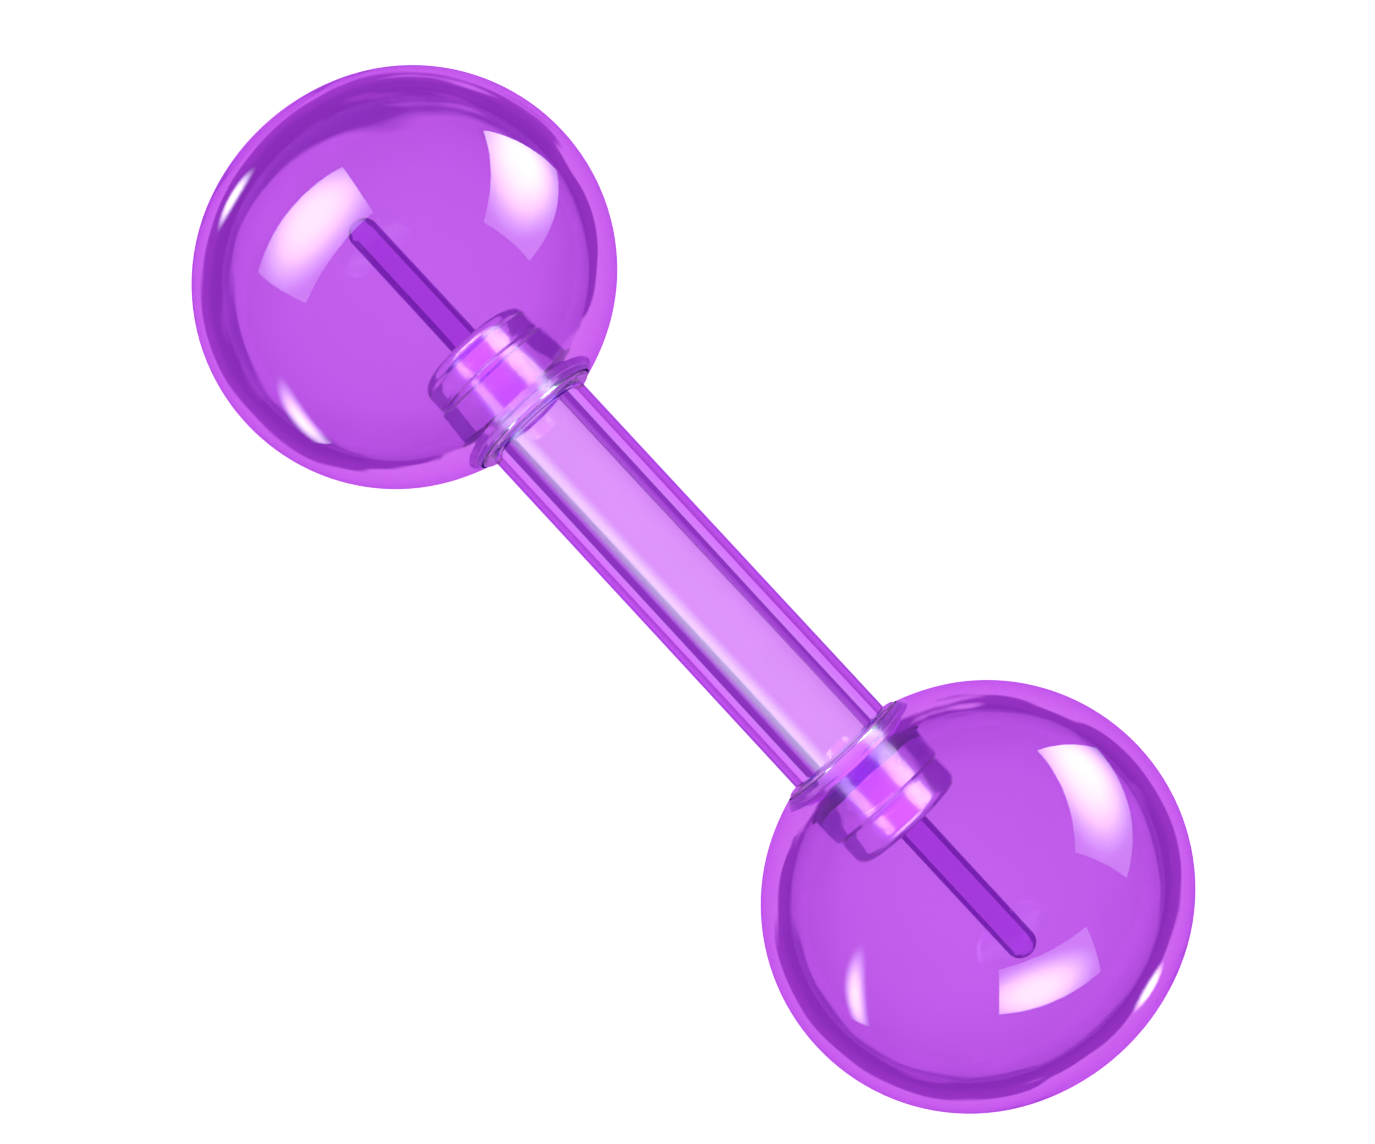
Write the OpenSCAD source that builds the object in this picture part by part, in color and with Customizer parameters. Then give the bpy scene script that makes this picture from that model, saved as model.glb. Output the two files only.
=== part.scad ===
// Cartilage barbell: a straight 14 gauge tube bar with a clear hollow ball on each end.
// A stepped collar is bonded to each end of the bar, and each ball pushes on over its collar.
// Millimetres, +Z up, the bar along X, the origin in the middle of the bar.

/* [Bar] */
// Outside diameter of the bar, 14 gauge
bar_d = 1.6; // [1.5:0.05:1.7]
// Length of the bar between the two balls
bar_len = 6; // [5:0.5:10]
// Bore through the bar
bar_bore_d = 0.92; // [0.8:0.02:1]

/* [Balls] */
// Ball diameter across the bar
ball_d = 5.86; // [5.6:0.02:6]
// Ball length along the bar
ball_len = 5.48; // [5.3:0.02:5.56]
// Wall of the hollow ball
ball_wall = 0.38; // [0.3:0.02:0.5]

/* [Collars] */
// Collar diameter at its rim
collar_d = 1.9; // [1.85:0.01:1.95]
// Collar length, from the end of the bar to its rounded nose
collar_len = 1.39; // [1.3:0.01:1.5]
// Length of the chamfered lip that stands out of the ball
collar_lip = 0.05; // [0.04:0.01:0.1]
// Diameter where the collar's taper ends, just before the groove
collar_taper_d = 1.8; // [1.78:0.01:1.82]
// Distance from the end of the bar to the middle of the groove
groove_at = 0.96; // [0.9:0.01:1]
// Width of the groove at the collar's surface
groove_w = 0.08; // [0.06:0.01:0.1]
// Depth of the groove
groove_deep = 0.05; // [0.04:0.01:0.06]
// Diameter of the nose beyond the groove
nose_d = 1.73; // [1.7:0.01:1.76]
// Rounding of the nose
nose_round = 0.16; // [0.12:0.01:0.2]

/* [Pins] */
// Diameter of the pin inside the ball
pin_d = 0.44; // [0.4:0.01:0.5]
// How far the pin reaches past the middle of the ball
pin_past = 1.1; // [0.9:0.05:1.3]
// Depth of the pin's socket in the collar's nose
socket_deep = 0.22; // [0.15:0.01:0.3]

/* [Fits] */
// Radial clearance between a ball's opening and its collar
ball_fit = 0.03; // [0.02:0.01:0.05]
// Bond gap between fixed pieces
bond = 0.02; // [0.01:0.01:0.03]

/* [Hidden] */
$fn = 96;

// the ball's outline is an oval of four arcs: flatter ones at its two poles and a tighter one round
// its middle, which meet without a corner where the slope is 8 in 15
flat = (ball_d - ball_len) / 2;
pole_shift = 2.5 * flat;
pole_r = ball_len / 2 + pole_shift;
belt_shift = 4 / 3 * flat;
belt_r = ball_d / 2 - belt_shift;
join_sine = 8 / 17;

// along the bar: where the ball's surface meets the collar's rim, and the middle of each ball
rim_from_middle = sqrt(pow(pole_r, 2) - pow(collar_d / 2, 2)) - pole_shift;
ball_x = bar_len / 2 + collar_lip + rim_from_middle;
opening_r = collar_d / 2 + ball_fit;

// turn of each ball about the bar's axis, which sets where its moulding seam lies
seam_turn = 30;

// how far each pin's tip lies from the end of the bar
pin_end = ball_x - bar_len / 2 + pin_past;

clear_purple = [0.73, 0.33, 0.93, 0.6];
pale_purple = [0.87, 0.6, 0.98, 0.75];
deep_purple = [0.6, 0.2, 0.86];

// half of the oval, drawn in by inset, with the radius along x and the bar's axis along y
module oval_half(inset) {
    join_r = (pole_r - inset) * join_sine;
    intersection() {
        translate([0, -pole_shift])
            circle(r = pole_r - inset);
        translate([0, pole_shift])
            circle(r = pole_r - inset);
        translate([0, -ball_len])
            square([join_r, 2 * ball_len]);
    }
    intersection() {
        translate([belt_shift, 0])
            circle(r = belt_r - inset);
        translate([join_r, -ball_len])
            square([ball_d, 2 * ball_len]);
    }
}

// a square-cornered half profile with its far outer corner rounded, from y0 to y1
module rounded_end(r, y0, y1, round) {
    translate([0, y0])
        square([r - round, y1 - y0]);
    translate([r - round, y0])
        square([round, y1 - round - y0]);
    translate([r - round, y1 - round])
        intersection() {
            circle(r = round);
            square(round);
        }
}

// turns a profile round the bar's axis, with y from the end of the bar outwards
module on_end(side) {
    translate([side * bar_len / 2, 0, 0])
        rotate([0, side * 90, 0])
            rotate_extrude()
                children();
}

module bar() {
    color(pale_purple)
        rotate([0, 90, 0])
            difference() {
                cylinder(d = bar_d, h = bar_len, center = true);
                cylinder(d = bar_bore_d, h = bar_len + 1, center = true);
            }
}

// lip, tapered barrel, groove and rounded nose, with a socket for the pin
module collar(side) {
    lip_r = collar_d / 2 - collar_lip + bond;
    taper_r = collar_taper_d / 2;
    nose_from = groove_at + groove_w / 2;
    color(clear_purple)
        on_end(side)
            difference() {
                union() {
                    polygon([
                        [0, bond],
                        [lip_r, bond],
                        [collar_d / 2, collar_lip],
                        [taper_r, groove_at - groove_w / 2],
                        [taper_r - groove_deep, groove_at],
                        [nose_d / 2, nose_from],
                        [0, nose_from]
                    ]);
                    rounded_end(nose_d / 2, nose_from, collar_len, nose_round);
                }
                translate([0, collar_len - socket_deep])
                    square([pin_d / 2 + bond, collar_len]);
            }
}

// thin rod with a round tip
module pin(side) {
    color(deep_purple)
        on_end(side)
            rounded_end(pin_d / 2, collar_len - socket_deep + bond, pin_end, pin_d / 2 - 0.02);
}

// hollow ball, open only where the collar goes in
module ball(side) {
    color(clear_purple)
        translate([side * ball_x, 0, 0])
            rotate([0, side * 90, 0])
                rotate([0, 0, seam_turn])
                    rotate_extrude()
                        difference() {
                            oval_half(0);
                            oval_half(ball_wall);
                            translate([0, -ball_len])
                                square([opening_r, ball_len]);
                        }
}

module collar_left() {
    collar(-1);
}

module collar_right() {
    collar(1);
}

module pin_left() {
    pin(-1);
}

module pin_right() {
    pin(1);
}

module ball_left() {
    ball(-1);
}

module ball_right() {
    ball(1);
}

bar();
collar_left();
collar_right();
pin_left();
pin_right();
ball_left();
ball_right();
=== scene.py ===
import bmesh
import bpy
import math
from mathutils import Matrix, Vector


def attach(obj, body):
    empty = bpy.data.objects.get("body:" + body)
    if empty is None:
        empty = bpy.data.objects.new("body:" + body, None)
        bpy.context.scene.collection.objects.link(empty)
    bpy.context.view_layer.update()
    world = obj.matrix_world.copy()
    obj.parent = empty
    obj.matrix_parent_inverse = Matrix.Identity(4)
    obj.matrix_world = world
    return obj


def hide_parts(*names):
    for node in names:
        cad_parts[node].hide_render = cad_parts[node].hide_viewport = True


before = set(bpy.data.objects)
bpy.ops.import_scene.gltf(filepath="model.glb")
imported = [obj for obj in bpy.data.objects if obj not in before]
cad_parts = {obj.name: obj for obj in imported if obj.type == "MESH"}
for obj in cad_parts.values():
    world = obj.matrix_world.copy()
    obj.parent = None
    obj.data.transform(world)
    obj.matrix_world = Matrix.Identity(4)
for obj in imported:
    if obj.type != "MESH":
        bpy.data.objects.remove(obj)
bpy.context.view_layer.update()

# The bar is a straight 14 gauge tube of clear purple acrylic. It was extruded, cut to length and flame
# polished, so its bore reads as a pale band between two dark lines, and each end is bonded to a collar.
MM = 0.001
BAR_RADIUS = 0.8
BAR_HALF = 3.0
BORE_RADIUS = 0.46
BAR_EDGE = 0.02
PATH_RADIUS = 1.0
FACETS_ROUND = 192
CORNER_STEPS = 6
MERGE_WITHIN = 0.0001
AXIS_TO_BAR = Matrix(((0, 0, 1, 0), (1, 0, 0, 0), (0, 1, 0, 0), (0, 0, 0, 1)))
SMOOTH_BELOW = math.radians(25)
ACRYLIC_IOR = 1.49
SKIN_DRIFT = 0.94

# a Mix node's colour sockets, which share their names with its other sockets
MIX_A, MIX_B, MIX_RESULT = 6, 7, 2


def linear(hex_colour):
    """An sRGB hex colour as the linear values that the nodes take."""
    parts = [int(hex_colour[i:i + 2], 16) / 255 for i in (1, 3, 5)]
    return [c / 12.92 if c <= 0.04045 else ((c + 0.055) / 1.055) ** 2.4 for c in parts] + [1.0]


def add_node(tree, kind, links=None, **settings):
    """One node with its settings, by property or input name, and its links, {input: output socket}."""
    node = tree.nodes.new(kind)
    for name, value in settings.items():
        if hasattr(node, name):
            setattr(node, name, value)
        else:
            node.inputs[name.replace("_", " ")].default_value = value
    for name, source in (links or {}).items():
        tree.links.new(source, node.inputs[name])
    return node


def turning_tree():
    """Geometry Nodes that turn a flat profile round the bar's axis, as a lathe or a mould would."""
    tree = bpy.data.node_groups.new("turned_piece", "GeometryNodeTree")
    face = tree.interface
    face.new_socket("Profile", in_out="INPUT", socket_type="NodeSocketGeometry")
    face.new_socket("Facets round", in_out="INPUT", socket_type="NodeSocketInt")
    face.new_socket("Path radius", in_out="INPUT", socket_type="NodeSocketFloat")
    face.new_socket("Finish", in_out="INPUT", socket_type="NodeSocketMaterial")
    face.new_socket("Turned", in_out="OUTPUT", socket_type="NodeSocketGeometry")
    given = add_node(tree, "NodeGroupInput").outputs
    profile = add_node(tree, "GeometryNodeMeshToCurve", {"Mesh": given["Profile"]})
    path = add_node(tree, "GeometryNodeCurvePrimitiveCircle",
                    {"Resolution": given["Facets round"], "Radius": given["Path radius"]})
    swept = add_node(tree, "GeometryNodeCurveToMesh",
                     {"Curve": path.outputs["Curve"], "Profile Curve": profile.outputs["Curve"]})
    closed = add_node(tree, "GeometryNodeMergeByDistance", {"Geometry": swept.outputs["Mesh"]},
                      Distance=MERGE_WITHIN * MM)
    real = add_node(tree, "GeometryNodeRealizeInstances", {"Geometry": closed.outputs["Geometry"]})
    dressed = add_node(tree, "GeometryNodeSetMaterial",
                       {"Geometry": real.outputs["Geometry"], "Material": given["Finish"]})
    add_node(tree, "NodeGroupOutput", {"Turned": dressed.outputs["Geometry"]})
    return tree


TURNING = turning_tree()


def eased(corners):
    """A profile whose corners (along, radius, ease) are rounded to their ease in mm, as if polished."""
    points = []
    for i, (x, r, ease) in enumerate(corners):
        here = Vector((x, r))
        if ease == 0:
            points.append((x, r))
            continue
        before = (Vector(corners[i - 1][:2]) - here).normalized()
        after = (Vector(corners[(i + 1) % len(corners)][:2]) - here).normalized()
        half = before.angle(after) / 2
        middle = here + (before + after).normalized() * ease / math.sin(half)
        first = here + before * ease / math.tan(half) - middle
        final = here + after * ease / math.tan(half) - middle
        for k in range(CORNER_STEPS + 1):
            spoke = first.slerp(final, k / CORNER_STEPS).normalized() * ease
            points.append(tuple(middle + spoke))
    return points


def turned_piece(name, profile, finish, side=1, closed=False):
    """A plain mesh turned from (along the bar, radius) points in mm, on the bar's right or left side.
    The sweep adds the path's radius to every point, so it comes off first."""
    path_radius = PATH_RADIUS * MM
    points = [(r * MM - path_radius, -side * x * MM, 0) for x, r in profile]
    edges = [(i, i + 1) for i in range(len(points) - 1)]
    if closed:
        edges.append((len(points) - 1, 0))
    flat = bpy.data.meshes.new(name + "_profile")
    flat.from_pydata(points, edges, [])
    blank = bpy.data.objects.new(name + "_blank", flat)
    bpy.context.scene.collection.objects.link(blank)
    turning = blank.modifiers.new("turning", "NODES")
    turning.node_group = TURNING
    given = {"Facets round": FACETS_ROUND, "Path radius": path_radius, "Finish": finish}
    for socket in TURNING.interface.items_tree:
        if socket.name in given:
            turning[socket.identifier] = given[socket.name]
    mesh = bpy.data.meshes.new_from_object(blank.evaluated_get(bpy.context.evaluated_depsgraph_get()))
    bpy.data.objects.remove(blank)
    mesh.transform(AXIS_TO_BAR)
    shape = bmesh.new()
    shape.from_mesh(mesh)
    bmesh.ops.recalc_face_normals(shape, faces=shape.faces)
    shape.to_mesh(mesh)
    shape.free()
    mesh.shade_smooth()
    mesh.set_sharp_from_angle(angle=SMOOTH_BELOW)
    piece = bpy.data.objects.new(name, mesh)
    bpy.context.scene.collection.objects.link(piece)
    return piece


def polished_acrylic(name, tint, depth_tint, density, ripple_mm, ripple_depth, **gloss):
    """Clear acrylic: a faint tint at its skin, a deeper one through its thickness, a slow ripple in mm."""
    material = bpy.data.materials.new(name)
    material.use_nodes = True
    tree = material.node_tree
    tree.nodes.clear()
    place = add_node(tree, "ShaderNodeTexCoord").outputs["Object"]
    flow = add_node(tree, "ShaderNodeTexNoise", {"Vector": place}, Scale=1 / (ripple_mm * MM), Detail=2.0)
    skin = add_node(tree, "ShaderNodeMix", {"Factor": flow.outputs["Fac"]}, data_type="RGBA")
    skin.inputs[MIX_A].default_value = linear(tint)
    skin.inputs[MIX_B].default_value = [c * SKIN_DRIFT for c in linear(tint)[:3]] + [1.0]
    bump = add_node(tree, "ShaderNodeBump", {"Height": flow.outputs["Fac"]}, Strength=1.0,
                    Distance=ripple_depth * MM)
    surface = add_node(tree, "ShaderNodeBsdfPrincipled",
                       {"Base Color": skin.outputs[MIX_RESULT], "Normal": bump.outputs["Normal"],
                        "Coat Normal": bump.outputs["Normal"]},
                       Roughness=0.0, IOR=ACRYLIC_IOR, Transmission_Weight=1.0, **gloss)
    inside = add_node(tree, "ShaderNodeVolumeAbsorption", Color=linear(depth_tint), Density=density)
    add_node(tree, "ShaderNodeOutputMaterial",
             {"Surface": surface.outputs["BSDF"], "Volume": inside.outputs["Volume"]})
    return material


# extruded acrylic, flame polished: clear as glass, light where the wall is crossed once and a strong purple
# where the light runs along it
extruded_acrylic = polished_acrylic("extruded_acrylic", "#FFFFFF", "#E032FB", 1700, 0.9, 0.0005)
bar = turned_piece("bar_tube", eased([(-BAR_HALF, BORE_RADIUS, BAR_EDGE), (-BAR_HALF, BAR_RADIUS, BAR_EDGE),
                                      (BAR_HALF, BAR_RADIUS, BAR_EDGE), (BAR_HALF, BORE_RADIUS, BAR_EDGE)]),
                   extruded_acrylic, closed=True)
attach(bar, "bar")
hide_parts("bar")

# A collar is bonded to each end of the bar: a solid acrylic turning with a thin chamfered lip just outside
# the ball, a barrel that narrows a little inwards, a groove, and a rounded nose to which the pin is bonded.
BOND = 0.02
RIM_RADIUS = 0.95
LIP = 0.05
LIP_RADIUS = 0.92
BARREL_END = 0.92
BARREL_END_RADIUS = 0.90
GROOVE_AT = 0.96
GROOVE_RADIUS = 0.85
NOSE_FROM = 1.00
NOSE_RADIUS = 0.865
NOSE_ROUND = 0.16
COLLAR_END = 1.39
TURNED_EDGE = 0.02

# turned acrylic, buffed on its outside: almost without tint, under a fine haze from the buffing that
# spreads each highlight into a soft pale patch
turned_acrylic = polished_acrylic("turned_acrylic", "#FFFFFF", "#EB60FF", 120, 0.45, 0.008,
                                  Coat_Weight=1.0, Coat_Roughness=0.22, Coat_IOR=ACRYLIC_IOR)
collar_profile = [(BAR_HALF + x, r) for x, r in eased([
    (BOND, 0, 0), (BOND, LIP_RADIUS, TURNED_EDGE), (LIP, RIM_RADIUS, TURNED_EDGE),
    (BARREL_END, BARREL_END_RADIUS, TURNED_EDGE), (GROOVE_AT, GROOVE_RADIUS, TURNED_EDGE / 2),
    (NOSE_FROM, NOSE_RADIUS, TURNED_EDGE / 2), (COLLAR_END, NOSE_RADIUS, NOSE_ROUND),
    (COLLAR_END, 0, 0)])]
lit_pieces = {"bar": bar}
for side_name, side in (("left", -1), ("right", 1)):
    collar = turned_piece("collar_" + side_name + "_turning", collar_profile, turned_acrylic, side)
    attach(collar, "bar")
    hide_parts("collar_" + side_name)
    lit_pieces["collar_" + side_name] = collar

# A thin acrylic rod is bonded into each collar's nose and runs into the ball along the bar's line. It has a
# deep tint and a rounded, polished tip, and is drawn from the nose on, as if the bond filled its socket.
PIN_RADIUS = 0.22
PIN_FROM = 1.395
PIN_END = 3.746
PIN_TIP = 0.20

# cast acrylic rod with a deep tint: an even dark purple between two darker edges, where the rod bends in
# the dark tent
rod_acrylic = polished_acrylic("rod_acrylic", "#FFFFFF", "#D822F2", 2600, 0.4, 0.0005)
pin_profile = [(BAR_HALF + x, r) for x, r in eased([
    (PIN_FROM, 0, 0), (PIN_FROM, PIN_RADIUS, TURNED_EDGE), (PIN_END, PIN_RADIUS, PIN_TIP), (PIN_END, 0, 0)])]
for side_name, side in (("left", -1), ("right", 1)):
    pin = turned_piece("pin_" + side_name + "_rod", pin_profile, rod_acrylic, side)
    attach(pin, "bar")
    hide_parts("pin_" + side_name)

# Each end is a hollow ball, blown in clear purple acrylic with an even wall. It is a little shorter along
# the bar than across it, and a round opening on the bar's side lets it push on over the collar.
BALL_RADIUS = 2.93
BALL_HALF = 2.74
BALL_WALL = 0.38
BALL_FIT = 0.03
OPENING_RADIUS = RIM_RADIUS + BALL_FIT
POLE_STEPS = 30
BELT_STEPS = 44

# the oval's arcs are flatter at its poles, and meet without a corner where the slope is 8 in 15
FLAT = BALL_RADIUS - BALL_HALF
POLE_SHIFT = 2.5 * FLAT
POLE_RADIUS = BALL_HALF + POLE_SHIFT
BELT_SHIFT = 4 / 3 * FLAT
BELT_RADIUS = BALL_RADIUS - BELT_SHIFT
BALL_MIDDLE = BAR_HALF + LIP + math.sqrt(POLE_RADIUS ** 2 - RIM_RADIUS ** 2) - POLE_SHIFT


def oval_line(inset):
    """The oval from its far pole to the opening, drawn in by inset: two flat arcs, a tighter one between."""
    pole = POLE_RADIUS - inset
    belt = BELT_RADIUS - inset
    join = math.atan2(BELT_SHIFT, POLE_SHIFT)
    brim = math.asin(OPENING_RADIUS / pole)
    far = [join * i / POLE_STEPS for i in range(POLE_STEPS)]
    round_belt = [join + (math.pi - 2 * join) * i / BELT_STEPS for i in range(BELT_STEPS)]
    near = [join + (brim - join) * i / POLE_STEPS for i in range(POLE_STEPS + 1)]
    points = [(pole * math.cos(a) - POLE_SHIFT, pole * math.sin(a)) for a in far]
    points += [(belt * math.cos(a), belt * math.sin(a) + BELT_SHIFT) for a in round_belt]
    points += [(POLE_SHIFT - pole * math.cos(a), pole * math.sin(a)) for a in near]
    return [(BALL_MIDDLE + x, r) for x, r in points]


# blown acrylic: a thin even wall, an even light purple where it is looked straight through and darker at the
# outline. The opening sits tight on its collar, as if wetted to it, so its own wall shows no surface.
blown_acrylic = polished_acrylic("blown_acrylic", "#E7C9F9", "#EC35F7", 1400, 2.4, 0.001)
BORE_MARGIN = 0.001
ball_tree = blown_acrylic.node_tree

# the opening's wall lies within its radius of the bar's line, on the bar's side of the ball's middle
local = add_node(ball_tree, "ShaderNodeTexCoord").outputs["Object"]
from_line = add_node(ball_tree, "ShaderNodeVectorMath", {"Vector": local}, operation="MULTIPLY")
from_line.inputs[1].default_value = (0, 1, 1)
off_line = add_node(ball_tree, "ShaderNodeVectorMath", {"Vector": from_line.outputs["Vector"]},
                    operation="LENGTH")
in_bore = add_node(ball_tree, "ShaderNodeMath", {"Value": off_line.outputs["Value"]}, operation="LESS_THAN")
in_bore.inputs[1].default_value = (OPENING_RADIUS + BORE_MARGIN) * MM
along = add_node(ball_tree, "ShaderNodeSeparateXYZ", {"Vector": local})
span = add_node(ball_tree, "ShaderNodeMath", {"Value": along.outputs["X"]}, operation="ABSOLUTE")
bar_side = add_node(ball_tree, "ShaderNodeMath", {"Value": span.outputs["Value"]}, operation="LESS_THAN")
bar_side.inputs[1].default_value = BALL_MIDDLE * MM
bore_only = add_node(ball_tree, "ShaderNodeMath", {"Value": in_bore.outputs["Value"]}, operation="MULTIPLY")
ball_tree.links.new(bar_side.outputs["Value"], bore_only.inputs[1])
flush = add_node(ball_tree, "ShaderNodeBsdfTransparent")
wall = add_node(ball_tree, "ShaderNodeMixShader", {"Fac": bore_only.outputs["Value"]})
ball_tree.links.new(ball_tree.nodes["Principled BSDF"].outputs["BSDF"], wall.inputs[1])
ball_tree.links.new(flush.outputs["BSDF"], wall.inputs[2])
ball_tree.links.new(wall.outputs["Shader"], ball_tree.nodes["Material Output"].inputs["Surface"])

ball_profile = oval_line(0) + oval_line(BALL_WALL)[::-1]
for side_name, side in (("left", -1), ("right", 1)):
    ball = turned_piece("ball_" + side_name + "_shell", ball_profile, blown_acrylic, side)
    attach(ball, "ball_" + side_name)
    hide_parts("ball_" + side_name)
    lit_pieces["ball_" + side_name] = ball

# The camera stands over the piece with a long lens and leans 2.9 degrees towards the bar's right end, which
# is what makes that ball show a little larger. The bar runs from the top left to the bottom right.
MM_PER_PIXEL = 0.01352
PHOTO_WIDE = 1375
PHOTO_HIGH = 1144
BAR_MIDDLE_AT = (688.2, 583.6)
HEIGHT_PIXELS = 2000
SENSOR = 36
CLIP_NEAR = 0.5 * MM
CLIP_FAR = 1000 * MM
CAMERA_HEIGHT = HEIGHT_PIXELS * MM_PER_PIXEL * MM
LOOK_X = (BAR_MIDDLE_AT[0] - PHOTO_WIDE / 2) * MM_PER_PIXEL * MM
LOOK_Y = (PHOTO_HIGH / 2 - BAR_MIDDLE_AT[1]) * MM_PER_PIXEL * MM
TURN = math.radians(47.2)
LEAN = math.radians(2.9)

right = Vector((math.cos(TURN), math.sin(TURN), 0))
up = Vector((-math.sin(TURN), math.cos(TURN), 0))
view = Matrix.Rotation(LEAN, 3, "Y") @ Matrix((right, up, Vector((0, 0, 1)))).transposed()
lens = bpy.data.cameras.new("camera")
lens.sensor_width = SENSOR
lens.lens = SENSOR * HEIGHT_PIXELS / PHOTO_WIDE
lens.clip_start = CLIP_NEAR
lens.clip_end = CLIP_FAR
camera = bpy.data.objects.new("camera", lens)
camera.matrix_world = Matrix.Translation(view @ Vector((-LOOK_X, -LOOK_Y, CAMERA_HEIGHT))) @ view.to_4x4()
bpy.context.scene.collection.objects.link(camera)
bpy.context.scene.camera = camera

# The piece lies on a white lit table, in a dark tent that hangs in folds round it, with a pale violet dome
# above. The walls bend the table's light and the tent's edge into bright and dark lines. Reflections at
# the outer surfaces see a plain violet room, and the camera sees white.
WHITE = linear("#FFFFFF")
TABLE_SIZE = 600 * MM
TABLE_LIGHT = 1.0
TABLE_PALE = 0.9

lit_table = bpy.data.materials.new("lit_table")
lit_table.use_nodes = True
table_shader = lit_table.node_tree.nodes["Principled BSDF"]
table_shader.inputs["Base Color"].default_value = (TABLE_PALE, TABLE_PALE, TABLE_PALE, 1)
table_shader.inputs["Roughness"].default_value = 1
table_shader.inputs["Emission Color"].default_value = WHITE
table_shader.inputs["Emission Strength"].default_value = TABLE_LIGHT
half_table = TABLE_SIZE / 2
table_mesh = bpy.data.meshes.new("table")
table_mesh.from_pydata([(x * half_table, y * half_table, -BALL_RADIUS * MM)
                        for x, y in ((-1, -1), (1, -1), (1, 1), (-1, 1))], [], [(0, 1, 2, 3)])
table_mesh.materials.append(lit_table)
table = bpy.data.objects.new("table", table_mesh)
bpy.context.scene.collection.objects.link(table)
table.visible_transmission = False
table.visible_glossy = False

GLOW_BELOW = 1.08
TENT = linear("#A261C1")
TENT_TOP = linear("#CB91E2")
DOME = linear("#F4BCF9")
ROOM = linear("#C45DF1")
FOLD_SEED = 1.9
FOLD_SCALE = 3.4
FOLD_SWING = 0.18
FOLD_NOISE = (0.25, 0.75)

# What shows through the walls isn't the table itself but the surround's lower part, which takes its place.
# Bands give its colour at each distance aside, from 0 straight below to 1 level.
OVAL = (0.90, 1.12, 0)
TABLE_GLOW = [GLOW_BELOW] * 3 + [1]
BANDS = ((0.0, TABLE_GLOW), (0.54, TABLE_GLOW), (0.60, TENT), (0.90, TENT), (1.0, TENT_TOP))
DOME_FROM = -0.25

world = bpy.data.worlds.new("surround")
bpy.context.scene.world = world
world.use_nodes = True
sky = world.node_tree
sky.nodes.clear()
toward = add_node(sky, "ShaderNodeTexCoord").outputs["Generated"]
squeezed = add_node(sky, "ShaderNodeVectorMath", {"Vector": toward}, operation="MULTIPLY")
squeezed.inputs[1].default_value = OVAL
aside = add_node(sky, "ShaderNodeVectorMath", {"Vector": squeezed.outputs["Vector"]}, operation="LENGTH")
folds = add_node(sky, "ShaderNodeTexNoise", {"Vector": toward}, noise_dimensions="4D", W=FOLD_SEED,
                 Scale=FOLD_SCALE, Detail=1.0)
swing = add_node(sky, "ShaderNodeMapRange", {"Value": folds.outputs["Fac"]}, From_Min=FOLD_NOISE[0],
                 From_Max=FOLD_NOISE[1], To_Min=-FOLD_SWING, To_Max=FOLD_SWING)
hung = add_node(sky, "ShaderNodeMath", {"Value": aside.outputs["Value"]}, operation="ADD")
sky.links.new(swing.outputs["Result"], hung.inputs[1])
tent = add_node(sky, "ShaderNodeValToRGB", {"Fac": hung.outputs["Value"]})
stops = tent.color_ramp.elements
for at, shade in BANDS:
    stop = stops[0] if at == 0.0 else stops[-1] if at == 1.0 else stops.new(at)
    stop.color = shade
height = add_node(sky, "ShaderNodeSeparateXYZ", {"Vector": toward})
over = add_node(sky, "ShaderNodeMapRange", {"Value": height.outputs["Z"]}, From_Min=DOME_FROM, From_Max=0.0)
seen_through = add_node(sky, "ShaderNodeMix", {"Factor": over.outputs["Result"]}, data_type="RGBA")
sky.links.new(tent.outputs["Color"], seen_through.inputs[MIX_A])
seen_through.inputs[MIX_B].default_value = DOME
rays = add_node(sky, "ShaderNodeLightPath").outputs
mirrored = add_node(sky, "ShaderNodeMix", {"Factor": rays["Is Reflection Ray"]}, data_type="RGBA")
sky.links.new(seen_through.outputs[MIX_RESULT], mirrored.inputs[MIX_A])
mirrored.inputs[MIX_B].default_value = ROOM
plain = add_node(sky, "ShaderNodeMix", {"Factor": rays["Is Camera Ray"]}, data_type="RGBA")
sky.links.new(mirrored.outputs[MIX_RESULT], plain.inputs[MIX_A])
plain.inputs[MIX_B].default_value = WHITE
surround = add_node(sky, "ShaderNodeBackground", {"Color": plain.outputs[MIX_RESULT]})
add_node(sky, "ShaderNodeOutputWorld", {"Surface": surround.outputs["Background"]})

# Two softboxes to each ball make its bright panes. Each lamp is kept to its own pieces, as with card flags,
# and its light fades evenly over the lamp from a hot spot.
LAMP_DISTANCE = 120 * MM

# where a lamp's fading starts and ends, as shares of its size, and the share of its light left at the end
PANE_FADE = (0.1, 0.7, 0.15)
SOFT_FADE = (0.0, 0.5, 0.0)


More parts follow.
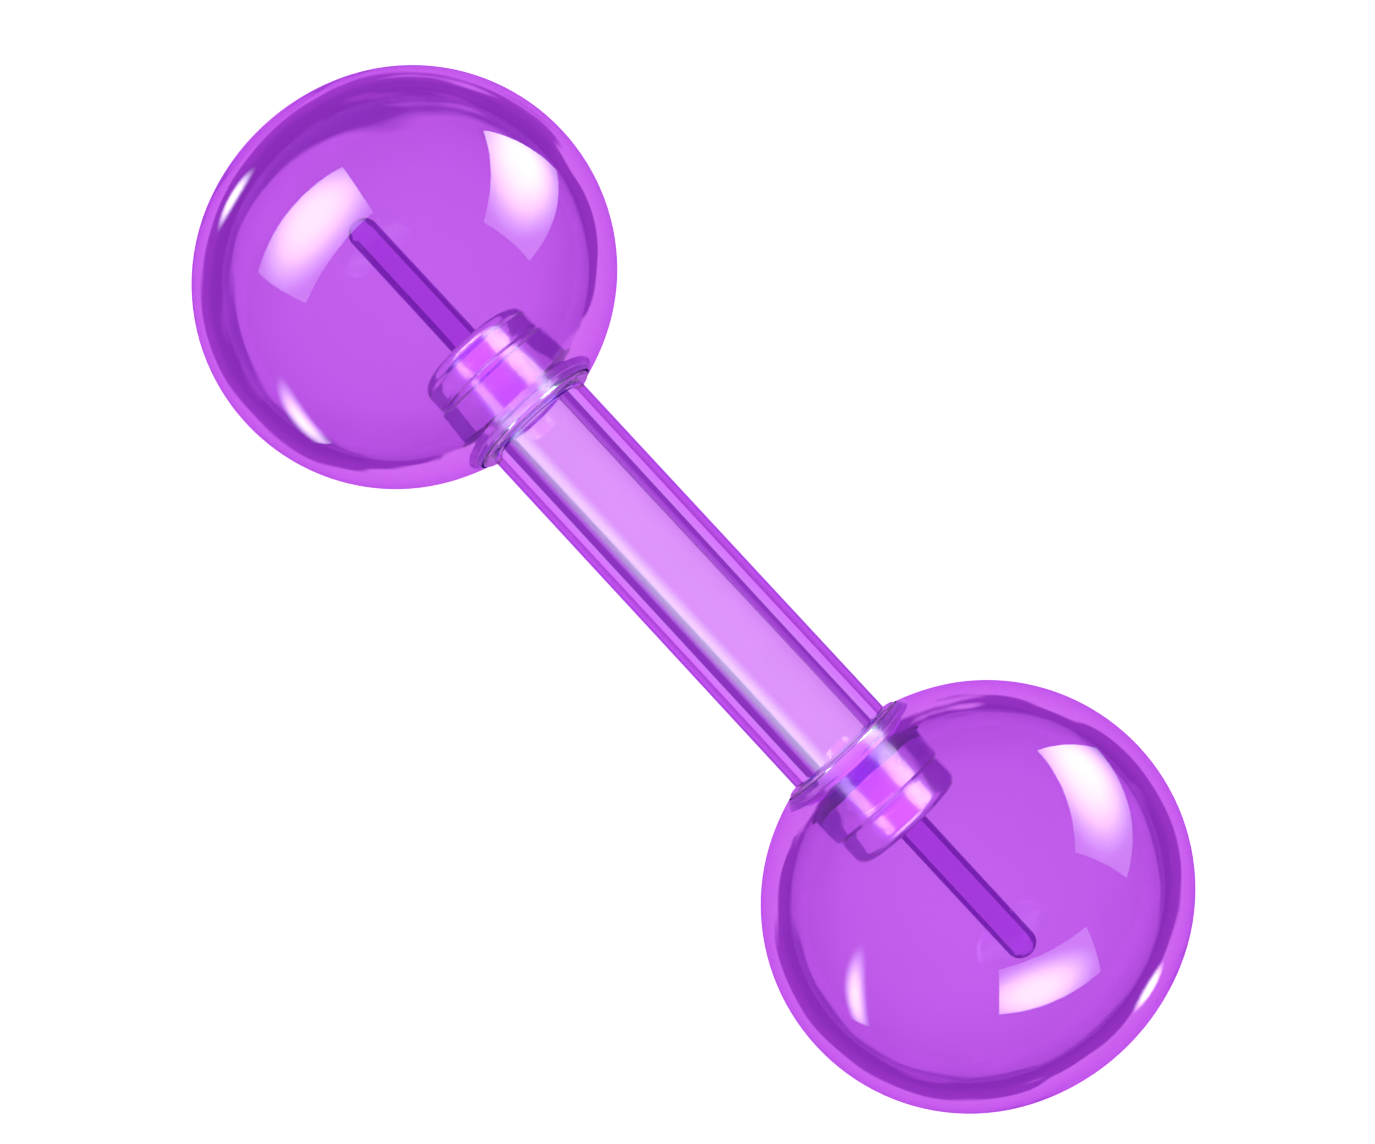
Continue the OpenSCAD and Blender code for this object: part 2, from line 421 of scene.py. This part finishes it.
def hang_lamp(name, way, along, width, depth, light, lit, gel="#FFFFFF", hot=(0.5, 0.5), fade=SOFT_FADE,
              through=False):
    """A lamp whose light fades from its hot spot, on its own pieces alone. Its way and length are given as
    the camera sees them, its width and depth for a distance of one. Through, it shines past the balls."""
    aim = (view @ Vector(way)).normalized()
    level = (view @ Vector(along)).normalized()
    level = (level - aim * level.dot(aim)).normalized()
    lamp = bpy.data.lights.new(name, "AREA")
    lamp.shape = "RECTANGLE"
    lamp.size = width * LAMP_DISTANCE
    lamp.size_y = depth * LAMP_DISTANCE
    lamp.energy = light * math.pi * lamp.size * lamp.size_y
    lamp.color = linear(gel)[:3]
    lamp.use_nodes = True
    glowing = lamp.node_tree
    where = add_node(glowing, "ShaderNodeNewGeometry").outputs["Parametric"]
    apart = add_node(glowing, "ShaderNodeVectorMath", {"Vector": where}, operation="SUBTRACT")
    apart.inputs[1].default_value = (*hot, 0)
    flat = add_node(glowing, "ShaderNodeVectorMath", {"Vector": apart.outputs["Vector"]},
                    operation="MULTIPLY")
    flat.inputs[1].default_value = (1, 1, 0)
    far = add_node(glowing, "ShaderNodeVectorMath", {"Vector": flat.outputs["Vector"]}, operation="LENGTH")
    near, end, rim = fade
    faded = add_node(glowing, "ShaderNodeMapRange", {"Value": far.outputs["Value"]},
                     interpolation_type="SMOOTHSTEP", From_Min=near, From_Max=end, To_Min=1.0, To_Max=rim)
    glowing.links.new(faded.outputs["Result"], glowing.nodes["Emission"].inputs["Strength"])
    hung_lamp = bpy.data.objects.new(name, lamp)
    face = Matrix((level, aim.cross(level), aim)).transposed()
    hung_lamp.matrix_world = Matrix.Translation(aim * LAMP_DISTANCE) @ face.to_4x4()
    bpy.context.scene.collection.objects.link(hung_lamp)
    hung_lamp.visible_transmission = False
    flagged = bpy.data.collections.new(name + "_lights")
    for piece_name in lit:
        flagged.objects.link(lit_pieces[piece_name])
    hung_lamp.light_linking.receiver_collection = flagged
    if through:
        hung_lamp.light_linking.blocker_collection = flagged


hang_lamp("softbox_high", (0.803, 0.585, 0.115), (0.49, -0.546, -0.679), 0.64, 1.06, 17,
          ("ball_left", "ball_right"), hot=(0.4, 0.68), fade=PANE_FADE)
hang_lamp("softbox_left", (-0.683, 0.311, 0.661), (0.579, 0.777, 0.245), 1.07, 0.66, 17,
          ("ball_left",), hot=(0.6, 0.6), fade=PANE_FADE)
hang_lamp("softbox_right", (0.505, -0.565, 0.653), (0.872, 0.391, -0.296), 0.84, 0.47, 17,
          ("ball_right",), hot=(0.35, 0.35), fade=PANE_FADE)

# Low strip lamps make the thin glows near the balls' outlines.
hang_lamp("glow_left_low", (-0.69, -0.64, -0.135), (0.46, -0.14, -0.57), 0.85, 0.26, 13, ("ball_left",),
          hot=(0.7, 0.5))
hang_lamp("glow_left_far", (-0.806, 0.459, -0.373), (0.04, 0.227, 0.101), 0.34, 0.22, 11, ("ball_left",))
hang_lamp("glow_right_low", (-0.83, -0.522, 0.198), (0.36, -0.419, -0.488), 1.0, 0.24, 15, ("ball_right",),
          hot=(0.7, 0.5))
hang_lamp("glow_right_far", (0.766, -0.492, -0.412), (0.056, 0.228, -0.099), 0.24, 0.24, 11, ("ball_right",))

# A long strip makes the pale streak along the bar. Its faint green offsets the bar's purple, so the streak
# comes out white. Two violet strips from below light the bar's edges.
ALONG_BAR = (0.68, -0.733, 0.0)
hang_lamp("strip_bar", (-0.573, -0.531, 0.624), ALONG_BAR, 2.5, 1.0, 9, ("bar",), gel="#CBFFCB")
hang_lamp("edge_right", (0.608, 0.564, -0.559), ALONG_BAR, 2.4, 1.2, 2, ("bar",), gel="#FF81F3")
hang_lamp("edge_left", (-0.608, -0.564, -0.559), ALONG_BAR, 2.4, 1.2, 2, ("bar",), gel="#FF81F3")

# The collars' soft streaks and patches come from strips across and along them, which shine past the balls.
BOTH_COLLARS = ("collar_left", "collar_right")
ACROSS_BAR = (0.68, 0.73, 0.0)
hang_lamp("collar_fill", (0.05, -0.03, 1.0), ALONG_BAR, 3.6, 3.6, 11, BOTH_COLLARS, gel="#BC59F9",
          through=True)
hang_lamp("collar_high", (0.54, 0.50, 0.68), ALONG_BAR, 2.4, 0.8, 75, BOTH_COLLARS, gel="#C4FFC4",
          through=True)
hang_lamp("collar_low", (-0.42, -0.39, 0.82), ALONG_BAR, 1.2, 0.45, 40, BOTH_COLLARS, gel="#C4FFC4",
          through=True)
hang_lamp("nose_left", (-0.55, 0.62, 0.56), ACROSS_BAR, 1.6, 0.5, 60, ("collar_left",), gel="#C4FFC4",
          through=True)
hang_lamp("nose_right", (0.55, -0.62, 0.56), ACROSS_BAR, 1.6, 0.5, 60, ("collar_right",), gel="#C4FFC4",
          through=True)

# Light crosses many clear walls before it is out again, and the table needs no more than its own light.
CLEAR_BOUNCES = 48
cycles = bpy.context.scene.cycles
cycles.max_bounces = CLEAR_BOUNCES
cycles.transmission_bounces = CLEAR_BOUNCES
cycles.glossy_bounces = CLEAR_BOUNCES
cycles.diffuse_bounces = 0
bpy.context.scene.view_settings.view_transform = "Standard"
